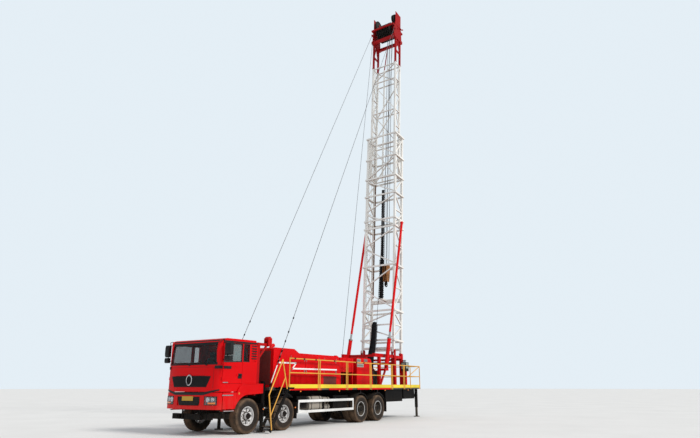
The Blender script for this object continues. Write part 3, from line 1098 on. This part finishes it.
def make_mast_ladder():
    """Ladder outside the right of the lower section and inside that of the upper one, and a pipe."""
    for name, body, x, y, inset in (("lower_mast", "mast_lower", -0.62, -0.99, 1.4),
                                    ("upper_mast", "mast_upper", -0.54, -0.7, 0.1)):
        low, high = mast_span(name)
        ladder = Shape()
        z0, z1 = low[2] + inset, high[2] - 0.05
        for dx in (0.0, 0.28):
            ladder.post(x + dx, y, z0, z1, 0.012, 8)
        for z in np.arange(z0 + 0.15, z1, 0.3):
            ladder.tube([(x, y, z), (x + 0.28, y, z)], 0.009, 6)
        piece(f"ladder_{body}", to_mast(ladder), "mast white", body)
    # Brown pipe down the right rear leg; it ends below where the crown comes when the mast is drawn in
    end = mast_span("crown")[0][2] - 6.06
    x, y = -0.752, -0.798
    pipe = Shape().post(x, y, 2.95, end, 0.028)
    for z in np.arange(3.2, end - 0.1, 0.9):
        pipe.post(x, y, z, z + 0.05, 0.033)
    piece("mast_pipe", to_mast(pipe), "brown pipe", "mast_lower")


# Name, look and section of the rings round each raising cylinder: along it from its foot, and radius
CYLINDER_RINGS = (
    ("ram", "bright steel", [(0.12, 0.04), (0.12, 0.0456), (1.675, 0.0456), (1.675, 0.04)], 40),
    ("ram_stage", "housing red", [(1.676, 0.047), (1.676, 0.0543), (2.5, 0.0543), (2.5, 0.047)], 48),
    ("gland", "dull steel", [(1.32, 0.0925), (1.32, 0.1), (1.385, 0.1), (1.396, 0.092), (1.396, 0.072)], 40),
)


def make_rods():
    """Bright rams in the raising cylinders, their second stages, and glands."""
    for side in SIDES:
        foot = np.array(JOINTS[f"cylinder_swing_{side}"]["pos_m"], float)
        stroke = JOINTS[f"cylinder_stroke_{side}"]["axis"]
        for name, look, section, steps in CYLINDER_RINGS:
            ring = Shape().lathe(section, foot, stroke, steps, ring=True)
            piece(f"{name}_{side}", ring, look, f"cylinder_base_{side}")


# STAGE

# Name, share of the key light's strength, angular size and turn of each lamp, in degrees
SUNS = (("key", 1.0, 18.0, (50.0, 0.0, 186.0)), ("fill", 0.16, 60.0, (65.0, 0.0, 110.0)))


def make_stage(view):
    """The photo's camera, a pale floor, a soft sky and two wide suns."""
    scene = bpy.context.scene
    scene.view_settings.view_transform = "Standard"
    eye = settle(bpy.data.cameras.new("photo view"), lens=view.lens, sensor_width=36.0,
                 sensor_fit="HORIZONTAL", shift_y=view.shift, clip_end=500.0)
    scene.camera = settle(placed("photo view", eye), location=view.place,
                          rotation_euler=(math.pi / 2 + view.pitch, 0.0, view.yaw + math.pi / 2))
    t = circle(96)
    r = np.array([0.0, 8.0, 30.0, 90.0, 300.0])[:, None]
    points = np.stack([r * np.cos(t), r * np.sin(t), 0 * r + 0 * t - 0.002], -1)
    mesh = bpy.data.meshes.new("floor")
    mesh.from_pydata(points.reshape(-1, 3), [], grid_faces(5, 96, wrap_v=True).tolist())
    ground = placed("floor", mesh)
    made, tree, shader, coords = new_material("pale floor")
    shade = spread(tree, noise(tree, coords, 0.4, 3.0), 0.3, 0.7)
    feed(tree, shader, {"Base Color": blend_colour(tree, shade, (0.7, 0.69, 0.67), (0.66, 0.65, 0.63)),
                        "Roughness": 0.9, "Specular IOR Level": 0.1})
    mesh.materials.append(made)
    # The sky is darker in gloss than in soft light, and brighter where the camera sees it
    world = bpy.data.worlds.new("soft sky")
    scene.world = world
    world.use_nodes = True
    tree = world.node_tree
    back = feed(tree, tree.nodes["Background"], {0: (0.8, 0.86, 0.93, 1), 1: view.sky})
    bright = node(tree, "Background", {0: (0.78, 0.86, 0.92, 1), 1: 1.0})
    mirrored = node(tree, "Background", {0: (0.8, 0.86, 0.93, 1), 1: 0.35})
    path = node(tree, "LightPath").outputs
    seen = times(tree, path["Is Camera Ray"], path["Is Transmission Ray"], "MAXIMUM")
    glossy = node(tree, "MixShader", {0: path["Is Glossy Ray"], 1: back.outputs[0], 2: mirrored.outputs[0]})
    mixed = node(tree, "MixShader", {0: seen, 1: glossy.outputs[0], 2: bright.outputs[0]})
    feed(tree, tree.nodes["World Output"], {0: mixed.outputs[0]})
    for name, share, angle, turn in SUNS:
        lamp = settle(bpy.data.lights.new(name, "SUN"), energy=view.key * share, angle=math.radians(angle),
                      color=(1.0, 0.97, 0.93))
        placed(name, lamp).rotation_euler = [math.radians(v) for v in turn]


def dress_nodes():
    """Gives every carried-over node the look of its table, on the object."""
    for name, made in frame["nodes"].items():
        if not made.material_slots:
            made.data.materials.append(None)
        for slot in made.material_slots:
            slot.link = "OBJECT"
            slot.material = LOOKS[look_of(name)][1]


class RigColours(bpy.types.PropertyGroup):
    red: FloatVectorProperty(
        name="Red", description="Paint of the cab and housings", subtype="COLOR", size=3, min=0, max=1,
        default=(0.62, 0.0, 0.002))
    mast: FloatVectorProperty(
        name="Mast", description="Paint of the mast", subtype="COLOR", size=3, min=0, max=1,
        default=(0.8, 0.78, 0.74))
    rails: FloatVectorProperty(
        name="Rails", description="Paint of rails and ladders", subtype="COLOR", size=3, min=0, max=1,
        default=(0.72, 0.36, 0.035))


class RigSizes(bpy.types.PropertyGroup):
    tyre_steps: IntProperty(
        name="Tyre steps", description="Points round a tyre", default=176, min=48, max=400)


class RigView(bpy.types.PropertyGroup):
    place: FloatVectorProperty(
        name="Place", description="Where the camera stands", subtype="TRANSLATION", unit="LENGTH", size=3,
        default=(19.173, 14.081, 1.489))
    yaw: FloatProperty(
        name="Yaw", description="Turn of the view from the carrier's length", subtype="ANGLE",
        default=math.radians(33.235))
    pitch: FloatProperty(
        name="Pitch", description="Tilt of the view above level", subtype="ANGLE",
        default=math.radians(16.198))
    lens: FloatProperty(
        name="Lens", description="Focal length in millimetres", default=27.682, min=5, max=200)
    shift: FloatProperty(
        name="Shift", description="Upward shift of the frame", default=0.015, min=0, max=0.1)
    key: FloatProperty(
        name="Key light", description="Strength of the main light", default=2.6, min=0, max=20)
    sky: FloatProperty(
        name="Sky light", description="Strength of the sky", default=0.75, min=0, max=10)


class RIG_OT_stage(bpy.types.Operator):
    """Set the camera, the soft light and the pale floor"""
    bl_idname = "rig.stage"
    bl_label = "Stage"

    def execute(self, context):
        make_stage(context.scene.rig_view)
        return {"FINISHED"}


class RIG_OT_finishes(bpy.types.Operator):
    """Mix the paints and give every carried-over piece its finish"""
    bl_idname = "rig.finishes"
    bl_label = "Finishes"

    def execute(self, context):
        chosen = context.scene.rig_colours
        for slot, rows in LOOK_ROWS.items():
            for name, maker, colour, *values in rows:
                colour = tuple(getattr(chosen, colour)) if isinstance(colour, str) else colour
                LOOKS[name] = slot, maker(name, colour, **dict(*values))
        dress_nodes()
        return {"FINISHED"}


class RIG_OT_wheels(bpy.types.Operator):
    """Mould the tyres with their tread, and add nuts, caps and rim lips"""
    bl_idname = "rig.wheels"
    bl_label = "Wheels"

    def execute(self, context):
        make_tyres(context.scene.rig_sizes)
        make_wheel_parts()
        return {"FINISHED"}


class RIG_OT_cab(bpy.types.Operator):
    """Add the cab's lamps, grille, wipers, handles, mirrors, trim and interior"""
    bl_idname = "rig.cab"
    bl_label = "Cab"

    def execute(self, context):
        make_cab_front()
        make_headlamps()
        make_cab_sides()
        make_mirrors()
        make_interior()
        return {"FINISHED"}


class RIG_OT_deck(bpy.types.Operator):
    """Add the fittings of the deck, its housings and what hangs under it"""
    bl_idname = "rig.deck"
    bl_label = "Deck"

    def execute(self, context):
        make_rails()
        make_housing()
        make_cabinets()
        make_drawworks()
        make_underside()
        return {"FINISHED"}


class RIG_OT_mast(bpy.types.Operator):
    """Add the block and hook, hoses, rigging, ladder and cylinder rods of the mast"""
    bl_idname = "rig.mast"
    bl_label = "Mast"

    def execute(self, context):
        make_block()
        make_mast_hoses()
        make_rigging()
        make_mast_ladder()
        make_rods()
        return {"FINISHED"}


OPERATORS = (RIG_OT_stage, RIG_OT_finishes, RIG_OT_wheels, RIG_OT_cab, RIG_OT_deck, RIG_OT_mast)


class RIG_PT_panel(bpy.types.Panel):
    """Lists the rig's pieces, sizes and colours"""
    bl_label = "Workover rig"
    bl_space_type = "VIEW_3D"
    bl_region_type = "UI"
    bl_category = "Rig"

    def draw(self, context):
        for group in GROUPS:
            chosen = getattr(context.scene, group)
            for name in chosen.__annotations__:
                self.layout.prop(chosen, name)
        for operator in OPERATORS:
            self.layout.operator(operator.bl_idname)


GROUPS = {"rig_sizes": RigSizes, "rig_colours": RigColours, "rig_view": RigView}


def register():
    for made in (*GROUPS.values(), *OPERATORS, RIG_PT_panel):
        bpy.utils.register_class(made)
    for name, group in GROUPS.items():
        setattr(bpy.types.Scene, name, PointerProperty(type=group))


def unregister():
    for name in GROUPS:
        delattr(bpy.types.Scene, name)
    for made in (RIG_PT_panel, *OPERATORS, *GROUPS.values()):
        bpy.utils.unregister_class(made)


def main():
    register()
    bpy.ops.rig.stage()
    bpy.ops.rig.finishes()
    bpy.ops.rig.wheels()
    bpy.ops.rig.cab()
    bpy.ops.rig.deck()
    bpy.ops.rig.mast()


if __name__ == "__main__":
    main()
